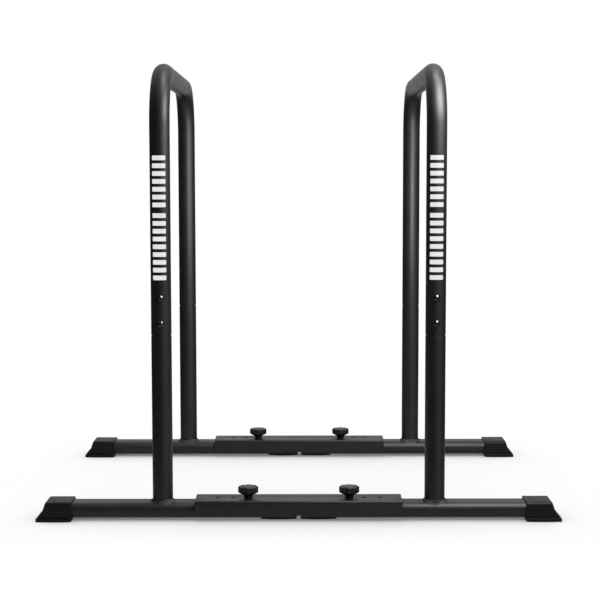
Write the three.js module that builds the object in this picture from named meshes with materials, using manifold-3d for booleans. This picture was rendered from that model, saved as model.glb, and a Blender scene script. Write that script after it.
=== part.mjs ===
// Dip station: a left and a right frame, each a round U-shaped handle on two flat-oval base
// tubes, held side by side by two channel connectors with star knobs.
// Millimetres, +Z up, +X to the right, the front towards -Y. The origin is on the floor, in
// the middle of the object at its narrowest width.

import * as THREE from 'three';
import { mergeVertices } from 'three/addons/utils/BufferGeometryUtils.js';
import Module from 'manifold-3d';

const wasm = await Module();
wasm.setup();

// Overall sizes
const overall_height = 900;
const upright_spread = 538; // between the left and the right uprights
const upright_pitch = 650; // between the front and the rear uprights

// Clearances and cuts
const seat_gap = 0.3; // between pieces that rest on each other
const fit_gap = 0.3; // all round a piece inside another
const cut_overrun = 4; // how far a cut runs past the face that it opens

// Round tube of the handles and posts
const tube_diameter = 40;
const tube_wall = 1.5;
const bend_radius = 104; // to the centreline
const seam_height = 366; // where a handle meets its posts

// Flat-oval base tubes
const oval_width = 60;
const oval_height = 30;
const oval_wall = 1.5;
const floor_clearance = 5; // under the base tubes
const base_overhang = 227; // from the upright's axis to the outer end of the base tube
const centre_gap = 8; // between the inner ends of the left and the right frame

// Weld at the foot of a post
const weld_leg = 5.5;
const weld_throat_share = 0.36; // of the leg, out and up at the middle of the bead

// Spigot inside the joint of a handle and a post
const spigot_wall = 2;
const spigot_below = 60; // below the seam
const spigot_above = 100; // above the seam

// Button-head screws of the joint, and their nuts
const screw_diameter = 8;
const screw_length = 16;
const screw_head_diameter = 14;
const screw_head_height = 4.4;
const screw_heights = { lower: 23, upper: 73 }; // above the seam
const socket_size = 5; // across the flats of the hexagon
const socket_depth = 2.6;
const screw_hole_gap = 0.3; // all round the shank
const nut_size = 13; // across the flats
const nut_height = 6.5;

// Foot caps on the outer ends of the base tubes
const foot_overlap = 49; // along the base tube
const foot_end_wall = 2; // past the end of the tube, at the top
const foot_flare = 18.5; // from the top of the outer end to the tip on the floor
const foot_side_wall = 3.5;
const foot_top_wall = 3;
const foot_edge_radius = 7.5;
const foot_flange_margin = 4.5; // out from the sides of the sleeve
const foot_flange_height = 6.5;
const foot_flange_corner = 3.5;
const foot_flange_bow = 1.5; // how far the long sides bulge
const foot_slope_out_shares = [0.3, 0.68]; // of the flare, down the outer end
const foot_slope_up_shares = [0.44, 0.17]; // of the height above the flange

// Plugs in the inner ends of the base tubes
const plug_flange = 2;
const plug_depth = 16;
const plug_wall = 2;

// Floor pads under the inner ends of the base tubes
const pad_length = 71;
const pad_end_width = 19;
const pad_bow = 3.5; // how far each long side bulges

// Channel connectors over the inner ends of the base tubes
const channel_post_room = 45; // from each end to the nearest post
const channel_wall = 3.5;
const channel_side_gap = 0.5; // between a base tube and each side wall
const channel_bend_radius = 3.5; // outer, along the long edges
const channel_drop = 29; // from the top face to the lower edges
const channel_hole_gap = 0.5; // all round a stud
const hole_end_room = 44; // from the last hole to the end of the channel
const hole_pitch = 30;
const hole_count = 3; // at each end

// Threaded inserts in the base tubes, under the knobs
const insert_wall = 1.2;
const insert_flange_lip = 2.5; // out from the body
const insert_flange_height = 2.2;
const insert_depth = 17;

// Star knobs with their studs and washers
const knob_diameter = 40;
const knob_lobes = 8;
const knob_lobe_depth = 2.2;
const knob_rim_height = 12.7;
const knob_rim_bevel = 0.8;
const knob_taper_height = 5.3;
const knob_neck_height = 3;
const knob_neck_diameter = 17.4;
const knob_top_margin = 8; // solid left above the stud
const stud_diameter = 8;
const washer_diameter = 17;
const washer_height = 1.4;

// Facets: every round section has corners on the X and Y axes
const tube_sides = 20;
const small_sides = 12;
const hexagon_sides = 6;
const bend_steps = 8; // along each bend of a handle
const oval_steps = 6; // round each half of an oval
const edge_steps = 3; // round a small rounded edge
const bow_steps = 6; // along a bulging side
const lobe_steps = 4; // round each knob lobe

// Worked out from the sizes above
const tube_radius = tube_diameter / 2;
const tube_bore_radius = tube_radius - tube_wall;
const half_spread = upright_spread / 2;
const half_pitch = upright_pitch / 2;
const handle_axis_height = overall_height - tube_radius;
const oval_top = floor_clearance + oval_height;
const oval_middle = floor_clearance + oval_height / 2;
const tube_outer_end = half_spread + base_overhang;
const tube_inner_end = centre_gap / 2 + plug_flange + seat_gap;
const spigot_radius = tube_bore_radius - fit_gap;
const spigot_bore_radius = spigot_radius - spigot_wall;
const screw_hole_radius = screw_diameter / 2 + screw_hole_gap;
const channel_floor = oval_top + insert_flange_height + seat_gap; // underside of its top wall
const channel_top = channel_floor + channel_wall;
const channel_width = oval_width + 2 * (channel_side_gap + channel_wall);
const channel_length = upright_spread - tube_diameter - 2 * channel_post_room;
const first_hole = channel_length / 2 - hole_end_room - (hole_count - 1) * hole_pitch;
const foot_width = oval_width + 2 * foot_side_wall;
const foot_flange_width = foot_width + 2 * foot_flange_margin;
const insert_bore_radius = stud_diameter / 2 + fit_gap;
const insert_radius = insert_bore_radius + insert_wall;

// Sides and ends: a piece on the right or at the rear stands as built, and one on the left
// or at the front is turned half way round
const sides = [
  { name: 'left', turn: Math.PI, sign: -1 },
  { name: 'right', turn: 0, sign: 1 },
];
const ends = [
  { name: 'front', turn: Math.PI, sign: -1 },
  { name: 'rear', turn: 0, sign: 1 },
];

// Colours and surfaces
const powder_coat = { color: 0x2a2a2b, roughness: 0.45, metalness: 0.2 };
const moulded_rubber = { color: 0x1c1c1c, roughness: 0.7, metalness: 0 };
const knob_nylon = { color: 0x222222, roughness: 0.55, metalness: 0 };
const black_oxide = { color: 0x161616, roughness: 0.35, metalness: 0.9 };
const zinc_plate = { color: 0xb4b6b4, roughness: 0.35, metalness: 1 };

// Solids: closed meshes that can be joined and cut

function toSolid(geometry) {
  const bare = geometry.index ? geometry.toNonIndexed() : geometry.clone();
  bare.deleteAttribute('normal');
  bare.deleteAttribute('uv');
  const merged = mergeVertices(bare);
  return new wasm.Manifold(new wasm.Mesh({
    numProp: merged.attributes.position.itemSize,
    vertProperties: new Float32Array(merged.attributes.position.array),
    triVerts: new Uint32Array(merged.index.array),
  }));
}

function toGeometry(solid) {
  const mesh = solid.getMesh();
  const geometry = new THREE.BufferGeometry();
  geometry.setAttribute('position', new THREE.BufferAttribute(mesh.vertProperties, mesh.numProp));
  geometry.setIndex(new THREE.BufferAttribute(mesh.triVerts, 1));
  geometry.computeVertexNormals();
  return geometry;
}

// Outlines: lists of points, counter-clockwise

function arcPoints(centre_x, centre_y, radius, start, sweep, steps) {
  const points = [];
  for (let step = 0; step <= steps; step++) {
    const angle = start + (sweep * step) / steps;
    points.push(new THREE.Vector2(
      centre_x + radius * Math.cos(angle),
      centre_y + radius * Math.sin(angle),
    ));
  }
  return points;
}

function circlePoints(radius, count, start = 0) {
  return arcPoints(0, 0, radius, start, 2 * Math.PI, count).slice(0, count);
}

function ovalPoints(width, height) {
  const radius = height / 2;
  const centre = width / 2 - radius;
  return [
    ...arcPoints(centre, 0, radius, -Math.PI / 2, Math.PI, oval_steps),
    ...arcPoints(-centre, 0, radius, Math.PI / 2, Math.PI, oval_steps),
  ];
}

function hexagonPoints(across_flats) {
  const corner_radius = across_flats / 2 / Math.cos(Math.PI / hexagon_sides);
  return circlePoints(corner_radius, hexagon_sides, Math.PI / 2);
}

// Solids swept straight up, along X or along Y, from the outline's own plane

function plateUp(points, height, hole_points) {
  const shape = new THREE.Shape(points);
  if (hole_points) shape.holes.push(new THREE.Path(hole_points));
  return new THREE.ExtrudeGeometry(shape, { depth: height, bevelEnabled: false });
}

function barAlongX(points, start, end, hole_points) {
  const bar = plateUp(points, end - start, hole_points);
  bar.applyMatrix4(new THREE.Matrix4().makeBasis(
    new THREE.Vector3(0, 1, 0),
    new THREE.Vector3(0, 0, 1),
    new THREE.Vector3(1, 0, 0),
  ));
  return bar.translate(start, 0, 0);
}

function barAlongY(points, start, end, hole_points) {
  return plateUp(points, end - start, hole_points).rotateX(Math.PI / 2).translate(0, end, 0);
}

// Turned solid: the profile is a list of [radius, height] pairs

function turned(profile, count) {
  const points = profile.map(([radius, height]) => new THREE.Vector2(radius, height));
  return new THREE.LatheGeometry(points, count).rotateX(Math.PI / 2);
}

function ring(outer_radius, inner_radius, bottom, top, count) {
  return turned([
    [inner_radius, bottom],
    [outer_radius, bottom],
    [outer_radius, top],
    [inner_radius, top],
    [inner_radius, bottom],
  ], count);
}

// Centreline of a handle: up the front leg, round two bends and down the rear leg, with one
// station at each end of a straight run and a few along each bend

class HandleLine extends THREE.Curve {
  constructor() {
    super();
    const bend_y = half_pitch - bend_radius;
    const bend_z = handle_axis_height - bend_radius;
    this.stations = [this.station(-half_pitch, seam_height, Math.PI / 2)];
    for (const [centre_y, start] of [[-bend_y, Math.PI], [bend_y, Math.PI / 2]]) {
      for (let step = 0; step <= bend_steps; step++) {
        const angle = start - ((Math.PI / 2) * step) / bend_steps;
        this.stations.push(this.station(
          centre_y + bend_radius * Math.cos(angle),
          bend_z + bend_radius * Math.sin(angle),
          angle - Math.PI / 2,
        ));
      }
    }
    this.stations.push(this.station(half_pitch, seam_height, -Math.PI / 2));
  }

  station(y, z, heading) {
    return {
      point: new THREE.Vector3(0, y, z),
      tangent: new THREE.Vector3(0, Math.cos(heading), Math.sin(heading)),
    };
  }

  get steps() {
    return this.stations.length - 1;
  }

  getPointAt(share) {
    return this.stations[Math.round(share * this.steps)].point.clone();
  }

  getTangentAt(share) {
    return this.stations[Math.round(share * this.steps)].tangent.clone();
  }
}

// Screw holes through the outward wall of an upright whose axis is at the given depth

function screwHoles(axis_y, outward, wall_top, wall_bottom) {
  const near = axis_y + outward * (wall_bottom - cut_overrun);
  const far = axis_y + outward * (wall_top + cut_overrun);
  return Object.values(screw_heights).map((height) => toSolid(
    barAlongY(circlePoints(screw_hole_radius, small_sides), Math.min(near, far), Math.max(near, far))
      .translate(0, 0, seam_height + height),
  ));
}

function handle() {
  const line = new HandleLine();
  const section = new THREE.Shape(circlePoints(tube_radius, tube_sides));
  section.holes.push(new THREE.Path(circlePoints(tube_bore_radius, tube_sides)));
  let solid = toSolid(new THREE.ExtrudeGeometry(section, { extrudePath: line, steps: line.steps }));
  for (const end of ends) {
    for (const hole of screwHoles(end.sign * half_pitch, end.sign, tube_radius, tube_bore_radius)) {
      solid = solid.subtract(hole);
    }
  }
  return toGeometry(solid);
}

// Lower post, open at both ends, with the weld bead round its foot, shaped to the base tube

function post() {
  const throat = weld_leg * weld_throat_share;
  const profile = [
    [tube_bore_radius, oval_middle],
    [tube_radius + weld_leg, oval_middle],
    [tube_radius + weld_leg, oval_top],
    [tube_radius + throat, oval_top + throat],
    [tube_radius, oval_top + weld_leg],
    [tube_radius, seam_height - seat_gap],
    [tube_bore_radius, seam_height - seat_gap],
    [tube_bore_radius, oval_middle],
  ];
  const saddle = barAlongX(
    ovalPoints(oval_width + 2 * seat_gap, oval_height + 2 * seat_gap),
    -tube_diameter,
    tube_diameter,
  ).translate(0, 0, oval_middle);
  return toGeometry(toSolid(turned(profile, tube_sides)).subtract(toSolid(saddle)));
}

// Spigot: it stands in the post and reaches up into the handle

function spigot() {
  let solid = toSolid(ring(
    spigot_radius,
    spigot_bore_radius,
    seam_height - spigot_below,
    seam_height + spigot_above,
    tube_sides,
  ));
  for (const hole of screwHoles(0, 1, spigot_radius, spigot_bore_radius)) {
    solid = solid.subtract(hole);
  }
  return toGeometry(solid);
}

// Button-head screw along Y: the head is outside, towards +Y, and the origin is under it

function screw() {
  const head_radius = screw_head_diameter / 2;
  const shank_radius = screw_diameter / 2;
  const dome_radius = (head_radius ** 2 + screw_head_height ** 2) / (2 * screw_head_height);
  const dome_sweep = Math.asin(head_radius / dome_radius);
  const dome = arcPoints(
    0,
    screw_head_height - dome_radius,
    dome_radius,
    Math.PI / 2 - dome_sweep,
    dome_sweep,
    edge_steps,
  ).slice(0, edge_steps).map((point) => [point.x, point.y]);
  const profile = [
    [0, -screw_length],
    [shank_radius, -screw_length],
    [shank_radius, 0],
    ...dome,
    [0, screw_head_height],
  ];
  const socket = plateUp(hexagonPoints(socket_size), socket_depth + cut_overrun)
    .translate(0, 0, screw_head_height - socket_depth);
  const solid = toSolid(turned(profile, small_sides)).subtract(toSolid(socket));
  return toGeometry(solid).rotateX(-Math.PI / 2);
}

// Hexagon nut along Y, with its outer face at the origin; its flats stand left and right

function nut() {
  return barAlongY(hexagonPoints(nut_size), -nut_height, 0, circlePoints(screw_hole_radius, small_sides));
}

// Where the outer face of a nut meets the round bore of the spigot

function nutSeat() {
  const flat_radius = spigot_bore_radius * Math.cos(Math.PI / tube_sides);
  return Math.sqrt(flat_radius ** 2 - (nut_size / 2) ** 2) - seat_gap;
}

// Base tube of the right side, with the hole for its threaded insert

function baseTube() {
  const tube = toSolid(barAlongX(
    ovalPoints(oval_width, oval_height),
    tube_inner_end,
    tube_outer_end,
    ovalPoints(oval_width - 2 * oval_wall, oval_height - 2 * oval_wall),
  ).translate(0, 0, oval_middle));
  const hole = plateUp(
    circlePoints(insert_radius + fit_gap, small_sides),
    oval_wall + 2 * cut_overrun,
  ).translate(first_hole, 0, oval_top - oval_wall - cut_overrun);
  return toGeometry(tube.subtract(toSolid(hole)));
}

// Foot cap of the right side: a sleeve over the tube, a hollow slope at the outer end and a
// flange on the floor

function footCap() {
  const inner_end = tube_outer_end - foot_overlap;
  const top = oval_top + foot_top_wall;
  const slope_start = tube_outer_end + foot_end_wall;
  const tip = slope_start + foot_flare;
  const [out_high, out_low] = foot_slope_out_shares;
  const [up_high, up_low] = foot_slope_up_shares;
  const rise = top - foot_flange_height;
  const half_width = foot_width / 2;
  const side_view = [
    [inner_end, 0],
    [tip - foot_flange_corner, 0],
    [tip - foot_flange_corner, foot_flange_height],
    [slope_start + foot_flare * out_low, foot_flange_height + rise * up_low],
    [slope_start + foot_flare * out_high, foot_flange_height + rise * up_high],
    [slope_start, top],
    [inner_end, top],
  ].map(([x, z]) => new THREE.Vector2(x, z));
  const end_view = [
    new THREE.Vector2(-half_width, 0),
    new THREE.Vector2(half_width, 0),
    ...arcPoints(
      half_width - foot_edge_radius, top - foot_edge_radius, foot_edge_radius,
      0, Math.PI / 2, edge_steps,
    ),
    ...arcPoints(
      foot_edge_radius - half_width, top - foot_edge_radius, foot_edge_radius,
      Math.PI / 2, Math.PI / 2, edge_steps,
    ),
  ];
  const body = toSolid(barAlongY(side_view, -half_width, half_width))
    .intersect(toSolid(barAlongX(end_view, inner_end - cut_overrun, tip + cut_overrun)));
  const pocket = barAlongX(
    ovalPoints(oval_width + 2 * fit_gap, oval_height + 2 * fit_gap),
    inner_end - cut_overrun,
    tube_outer_end + fit_gap,
  ).translate(0, 0, oval_middle);
  return toGeometry(body.add(toSolid(footFlange(inner_end, tip))).subtract(toSolid(pocket)));
}

function footFlange(inner_end, tip) {
  const edge = foot_flange_width / 2 - foot_flange_bow;
  const corner_x = tip - foot_flange_corner;
  const corner_y = edge - foot_flange_corner;
  const bow = (sign) => {
    const points = [];
    for (let step = 0; step <= bow_steps; step++) {
      const share = step / bow_steps;
      const x = inner_end + (corner_x - inner_end) * share;
      points.push(new THREE.Vector2(x, sign * (edge + foot_flange_bow * Math.sin(Math.PI * share))));
    }
    return points;
  };
  const outline = [
    ...bow(-1),
    ...arcPoints(corner_x, -corner_y, foot_flange_corner, -Math.PI / 2, Math.PI / 2, edge_steps).slice(1),
    ...arcPoints(corner_x, corner_y, foot_flange_corner, 0, Math.PI / 2, edge_steps).slice(0, edge_steps),
    ...bow(1).reverse(),
  ];
  return plateUp(outline, foot_flange_height);
}

// Plug in the inner end of the right base tube, hollow on the tube's side

function endPlug() {
  const body_width = oval_width - 2 * (oval_wall + fit_gap);
  const body_height = oval_height - 2 * (oval_wall + fit_gap);
  const face = centre_gap / 2;
  const flange_back = face + plug_flange;
  const flange = toSolid(barAlongX(ovalPoints(oval_width, oval_height), face, flange_back));
  const body = toSolid(barAlongX(ovalPoints(body_width, body_height), face, flange_back + plug_depth));
  const hollow = toSolid(barAlongX(
    ovalPoints(body_width - 2 * plug_wall, body_height - 2 * plug_wall),
    flange_back,
    flange_back + plug_depth + cut_overrun,
  ));
  return toGeometry(flange.add(body).subtract(hollow)).translate(0, 0, oval_middle);
}

// Floor pad under the inner end of the right base tube, with bulging long sides

function floorPad() {
  const start = centre_gap / 2;
  const side = (sign) => {
    const points = [];
    for (let step = 0; step <= bow_steps; step++) {
      const share = step / bow_steps;
      points.push(new THREE.Vector2(
        start + pad_length * share,
        sign * (pad_end_width / 2 + pad_bow * Math.sin(Math.PI * share)),
      ));
    }
    return points;
  };
  return plateUp([...side(-1), ...side(1).reverse()], floor_clearance);
}

// Threaded insert: its flange lies on the base tube and its body hangs in the hole

function threadedInsert() {
  return turned([
    [insert_bore_radius, -insert_depth],
    [insert_radius, -insert_depth],
    [insert_radius, 0],
    [insert_radius + insert_flange_lip, 0],
    [insert_radius + insert_flange_lip, insert_flange_height],
    [insert_bore_radius, insert_flange_height],
    [insert_bore_radius, -insert_depth],
  ], small_sides);
}

// Channel connector: bent plate, open below, with a row of holes at each end

function connector() {
  const outer = channel_width / 2;
  const inner = outer - channel_wall;
  const bottom = channel_top - channel_drop;
  const bend_centre = outer - channel_bend_radius;
  const bend_height = channel_top - channel_bend_radius;
  const outline = [
    new THREE.Vector2(inner, bottom),
    new THREE.Vector2(outer, bottom),
    ...arcPoints(bend_centre, bend_height, channel_bend_radius, 0, Math.PI / 2, edge_steps),
    ...arcPoints(-bend_centre, bend_height, channel_bend_radius, Math.PI / 2, Math.PI / 2, edge_steps),
    new THREE.Vector2(-outer, bottom),
    new THREE.Vector2(-inner, bottom),
    new THREE.Vector2(-inner, channel_floor),
    new THREE.Vector2(inner, channel_floor),
  ];
  let solid = toSolid(barAlongX(outline, -channel_length / 2, channel_length / 2));
  for (const side of sides) {
    for (let index = 0; index < hole_count; index++) {
      const hole = plateUp(
        circlePoints(stud_diameter / 2 + channel_hole_gap, small_sides),
        channel_wall + 2 * cut_overrun,
      ).translate(side.sign * (first_hole + index * hole_pitch), 0, channel_floor - cut_overrun);
      solid = solid.subtract(toSolid(hole));
    }
  }
  return toGeometry(solid);
}

// Star knob: a lobed rim over a taper and a neck, bored from below for its stud; the origin
// is at the middle of the neck's lower face

const knob_height = knob_neck_height + knob_taper_height + knob_rim_height;

function knob() {
  const rim_radius = knob_diameter / 2 - knob_rim_bevel;
  const count = knob_lobes * lobe_steps;
  const lobed = [];
  for (let step = 0; step < count; step++) {
    const angle = (2 * Math.PI * step) / count;
    const dip = (1 - Math.cos(knob_lobes * angle)) / 2;
    const radius = rim_radius - knob_lobe_depth * dip ** 2;
    lobed.push(new THREE.Vector2(radius * Math.cos(angle), radius * Math.sin(angle)));
  }
  const rim_bottom = knob_neck_height + knob_taper_height;
  const rim = new THREE.ExtrudeGeometry(new THREE.Shape(lobed), {
    depth: knob_rim_height - 2 * knob_rim_bevel,
    bevelThickness: knob_rim_bevel,
    bevelSize: knob_rim_bevel,
    bevelSegments: 1,
  }).translate(0, 0, rim_bottom + knob_rim_bevel);
  const neck_radius = knob_neck_diameter / 2;
  const taper_radius = rim_radius - knob_lobe_depth;
  const neck = turned([
    [0, 0],
    [neck_radius, 0],
    [neck_radius, knob_neck_height],
    [taper_radius, rim_bottom],
    [taper_radius, rim_bottom + knob_rim_bevel],
    [0, rim_bottom + knob_rim_bevel],
  ], tube_sides);
  const bore = plateUp(
    circlePoints(stud_diameter / 2 + fit_gap, small_sides),
    knob_height - knob_top_margin + cut_overrun,
  ).translate(0, 0, -cut_overrun);
  return toGeometry(toSolid(rim).add(toSolid(neck)).subtract(toSolid(bore)));
}

// Stud of a knob, from just inside the top of its bore down to the channel's underside

const knob_seat = channel_top + seat_gap + washer_height + seat_gap;

function stud() {
  const length = knob_height - knob_top_margin - seat_gap + (knob_seat - channel_floor);
  return plateUp(circlePoints(stud_diameter / 2, small_sides), length)
    .translate(0, 0, channel_floor - knob_seat);
}

function washer() {
  return ring(washer_diameter / 2, stud_diameter / 2 + fit_gap, 0, washer_height, small_sides);
}

// Assembly

const group = new THREE.Group();

function place(name, geometry, look, x, y, z, turn) {
  const mesh = new THREE.Mesh(geometry, new THREE.MeshStandardMaterial(look));
  mesh.name = name;
  mesh.position.set(x, y, z);
  mesh.rotation.z = turn;
  group.add(mesh);
}

for (const side of sides) {
  const upright_x = side.sign * half_spread;
  place(`${side.name}_handle`, handle(), powder_coat, upright_x, 0, 0, 0);

  for (const end of ends) {
    const corner = `${side.name}_${end.name}`;
    const y = end.sign * half_pitch;
    place(`${corner}_post`, post(), powder_coat, upright_x, y, 0, end.turn);
    place(`${corner}_spigot`, spigot(), zinc_plate, upright_x, y, 0, end.turn);

    const screw_y = y + end.sign * (tube_radius + seat_gap);
    const nut_y = y + end.sign * nutSeat();
    for (const [level, height] of Object.entries(screw_heights)) {
      const z = seam_height + height;
      place(`${corner}_${level}_screw`, screw(), black_oxide, upright_x, screw_y, z, end.turn);
      place(`${corner}_${level}_nut`, nut(), zinc_plate, upright_x, nut_y, z, end.turn);
    }

    place(`${corner}_base_tube`, baseTube(), powder_coat, 0, y, 0, side.turn);
    place(`${corner}_foot_cap`, footCap(), moulded_rubber, 0, y, 0, side.turn);
    place(`${corner}_end_plug`, endPlug(), moulded_rubber, 0, y, 0, side.turn);
    place(`${corner}_floor_pad`, floorPad(), moulded_rubber, 0, y, 0, side.turn);

    const knob_x = side.sign * first_hole;
    place(`${corner}_threaded_insert`, threadedInsert(), zinc_plate, knob_x, y, oval_top, 0);
    place(`${corner}_knob_washer`, washer(), black_oxide, knob_x, y, channel_top + seat_gap, 0);
    place(`${corner}_knob_stud`, stud(), zinc_plate, knob_x, y, knob_seat, 0);
    place(`${corner}_knob`, knob(), knob_nylon, knob_x, y, knob_seat, 0);
  }
}

for (const end of ends) {
  place(`${end.name}_connector`, connector(), powder_coat, 0, end.sign * half_pitch, 0, 0);
}

export default group;
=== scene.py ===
import logging
import math
from collections.abc import Sequence
from dataclasses import dataclass
from enum import Enum
from typing import ClassVar

import bmesh
import bpy
import numpy as np
from mathutils import Matrix, Vector


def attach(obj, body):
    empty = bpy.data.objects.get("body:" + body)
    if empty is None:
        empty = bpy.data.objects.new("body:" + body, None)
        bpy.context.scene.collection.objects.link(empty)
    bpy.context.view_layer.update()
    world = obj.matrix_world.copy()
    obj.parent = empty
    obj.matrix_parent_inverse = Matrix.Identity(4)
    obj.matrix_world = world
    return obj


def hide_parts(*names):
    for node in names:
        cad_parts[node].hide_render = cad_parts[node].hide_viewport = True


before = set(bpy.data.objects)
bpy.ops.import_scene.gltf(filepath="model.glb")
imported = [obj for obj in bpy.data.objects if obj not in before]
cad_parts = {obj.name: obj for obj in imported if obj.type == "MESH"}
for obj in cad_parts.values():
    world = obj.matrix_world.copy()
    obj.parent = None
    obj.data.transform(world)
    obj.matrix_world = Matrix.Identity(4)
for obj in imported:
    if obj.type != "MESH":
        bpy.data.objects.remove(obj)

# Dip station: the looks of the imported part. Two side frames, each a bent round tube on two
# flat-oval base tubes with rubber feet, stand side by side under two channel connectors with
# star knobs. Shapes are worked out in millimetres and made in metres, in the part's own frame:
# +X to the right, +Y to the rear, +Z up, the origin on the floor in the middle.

MILLIMETRE = 0.001
QUARTER_TURN = math.pi / 2
HALF_TURN = math.pi
FULL_TURN = 2 * math.pi
SHARP_ANGLE = math.radians(34)  # edges steeper than this are shaded as edges

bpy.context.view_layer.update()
log = logging.getLogger("dip_station")

Triple = tuple[float, float, float]
Tree = bpy.types.NodeTree
Socket = bpy.types.NodeSocket
Profile = list[tuple[float, float]]


class Half(Enum):
    """One of two mirrored halves, with the turn that sets a piece made for the right or rear."""

    def __init__(self, label: str, sign: int, turn: float) -> None:
        """Keeps the name, the sign along the axis and the turn about Z."""
        self.label, self.sign, self.turn = label, sign, turn


class Side(Half):
    """The two side frames, along X."""

    LEFT = ("left", -1, HALF_TURN)
    RIGHT = ("right", 1, 0.0)

    @property
    def body(self) -> str:
        """Returns the name of the side frame's body."""
        return f"{self.label}_frame"


class End(Half):
    """The two ends of a side frame, along Y."""

    FRONT = ("front", -1, HALF_TURN)
    REAR = ("rear", 1, 0.0)


class Slot(Enum):
    """The record's material slots."""

    POWDER_COAT = "powder_coated_steel"
    PLATED = "plated_steel"
    BLACK_STEEL = "black_steel"
    RUBBER = "moulded_rubber"
    PLASTIC = "moulded_plastic"
    NYLON = "knob_nylon"
    PRINT = "printed_mark"


# Layout that several pieces share, in millimetres
UPRIGHT_X = 269.0
UPRIGHT_Y = 325.0
TUBE_RADIUS = 20.0
TUBE_WALL = 1.5
SEAM_HEIGHT = 366.0
SEAT_GAP = 0.3
OVAL_WIDTH = 60.0
OVAL_HEIGHT = 30.0
OVAL_WALL = 1.5
OVAL_MIDDLE = 20.0
OVAL_TOP = 35.0
TUBE_INNER_END = 6.3
TUBE_OUTER_END = 496.0
CHANNEL_TOP = 41.0
CHANNEL_UNDERSIDE = 37.5
KNOB_SEAT = 43.0
FIRST_HOLE = 100.0
HOLE_PITCH = 30.0
HOLE_COUNT = 3
SCREW_HEIGHTS = {"lower": 389.0, "upper": 439.0}
CUTTER_REACH = 4.0  # how far a cutter goes past what it cuts
DRILL_DEPTH = 5.0  # how far a drill goes in through a wall


# Shapes


def put(name: str, data: bpy.types.ID) -> bpy.types.Object:
    """Adds an object to the scene.

    Args:
        name: Its name.
        data: Its mesh, lamp or camera.

    Returns:
        The new object.
    """
    item = bpy.data.objects.new(name, data)
    bpy.context.scene.collection.objects.link(item)
    return item


@dataclass(frozen=True)
class Shape:
    """A closed surface in millimetres."""

    points: np.ndarray  # the corners, one row of three numbers each
    faces: list[tuple[int, ...]]  # the faces, each a tuple of corner numbers

    def placed(self, x: float = 0.0, y: float = 0.0, z: float = 0.0, turn: float = 0.0) -> "Shape":
        """Turns the shape about the Z axis and then moves it.

        Args:
            x: Move along X.
            y: Move along Y.
            z: Move along Z.
            turn: Angle in radians.

        Returns:
            The shape in its new place.
        """
        c, s = math.cos(turn), math.sin(turn)
        facing = self.points @ np.array([[c, s, 0], [-s, c, 0], [0, 0, 1]])
        return Shape(facing + (x, y, z), self.faces)

    def laid_back(self) -> "Shape":
        """Tips the shape's +Z to +Y, as for a screw that points along Y."""
        return Shape(self.points @ np.array([[-1, 0, 0], [0, 0, 1], [0, 1, 0]]), self.faces)

    def mesh(self, name: str, unit: float = MILLIMETRE) -> bpy.types.Mesh:
        """Makes a mesh with its faces turned outwards.

        Args:
            name: The mesh's name.
            unit: Length of one step of the points, in metres.

        Returns:
            The new mesh.
        """
        mesh = bpy.data.meshes.new(name)
        mesh.from_pydata((self.points * unit).tolist(), [], self.faces)
        edit = bmesh.new()
        edit.from_mesh(mesh)
        bmesh.ops.recalc_face_normals(edit, faces=edit.faces)
        edit.to_mesh(mesh)
        edit.free()
        return mesh


def merged(shapes: Sequence[Shape]) -> Shape:
    """Joins shapes.

    Args:
        shapes: The shapes, each of which stays as it is.

    Returns:
        All of them as one.
    """
    faces: list[tuple[int, ...]] = []
    count = 0
    for shape in shapes:
        faces += [tuple(corner + count for corner in face) for face in shape.faces]
        count += len(shape.points)
    return Shape(np.vstack([shape.points for shape in shapes]), faces)


def loft(rings: Sequence[np.ndarray], closed: bool = False) -> Shape:
    """Skins rings of points that follow each other.

    Args:
        rings: Arrays of the same number of points each.
        closed: Whether the last ring joins the first. If not, both are filled.

    Returns:
        The closed shape.
    """
    count = len(rings[0])
    faces: list[tuple[int, ...]] = []
    for index in range(len(rings) if closed else len(rings) - 1):
        here = index * count
        there = (index + 1) % len(rings) * count
        for corner in range(count):
            after = (corner + 1) % count
            faces.append((here + corner, here + after, there + after, there + corner))
    if not closed:
        last = (len(rings) - 1) * count
        faces += [tuple(range(count - 1, -1, -1)), tuple(range(last, last + count))]
    return Shape(np.vstack(rings), faces)


def carved(shape: Shape, cutters: Sequence[Shape]) -> Shape:
    """Cuts shapes out of another.

    Args:
        shape: What is cut.
        cutters: What is taken away. They don't touch each other.

    Returns:
        The shape that is left.
    """
    block, cutter = (put(name, solid.mesh(name, 1.0))
                     for name, solid in (("carved", shape), ("cutter", merged(cutters))))
    cut = block.modifiers.new("cut", "BOOLEAN")
    cut.operation, cut.solver, cut.object = "DIFFERENCE", "EXACT", cutter
    graph = bpy.context.evaluated_depsgraph_get()
    result = bpy.data.meshes.new_from_object(block.evaluated_get(graph))
    left = Shape(np.array([corner.co for corner in result.vertices]),
                 [tuple(face.vertices) for face in result.polygons])
    for mesh in (block.data, cutter.data, result):
        bpy.data.meshes.remove(mesh)  # and with it the object that shows it
    return left


def arc(start: float, end: float, steps: int) -> np.ndarray:
    """Returns steps + 1 angles from start to end, in radians."""
    return np.linspace(start, end, steps + 1)


def all_round(sides: int) -> np.ndarray:
    """Returns the angles of so many points all round, in radians."""
    return arc(0, FULL_TURN, sides)[:-1]


def ring(radius: float | np.ndarray, height: float | np.ndarray, angles: np.ndarray) -> np.ndarray:
    """Returns a ring about the Z axis, whose radius and height may change round it."""
    return level(np.column_stack([radius * np.cos(angles), radius * np.sin(angles)]), height)


def level(outline: np.ndarray, height: float | np.ndarray) -> np.ndarray:
    """Returns a flat outline's points at a height along Z."""
    return np.column_stack([outline, np.broadcast_to(height, len(outline))])


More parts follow.
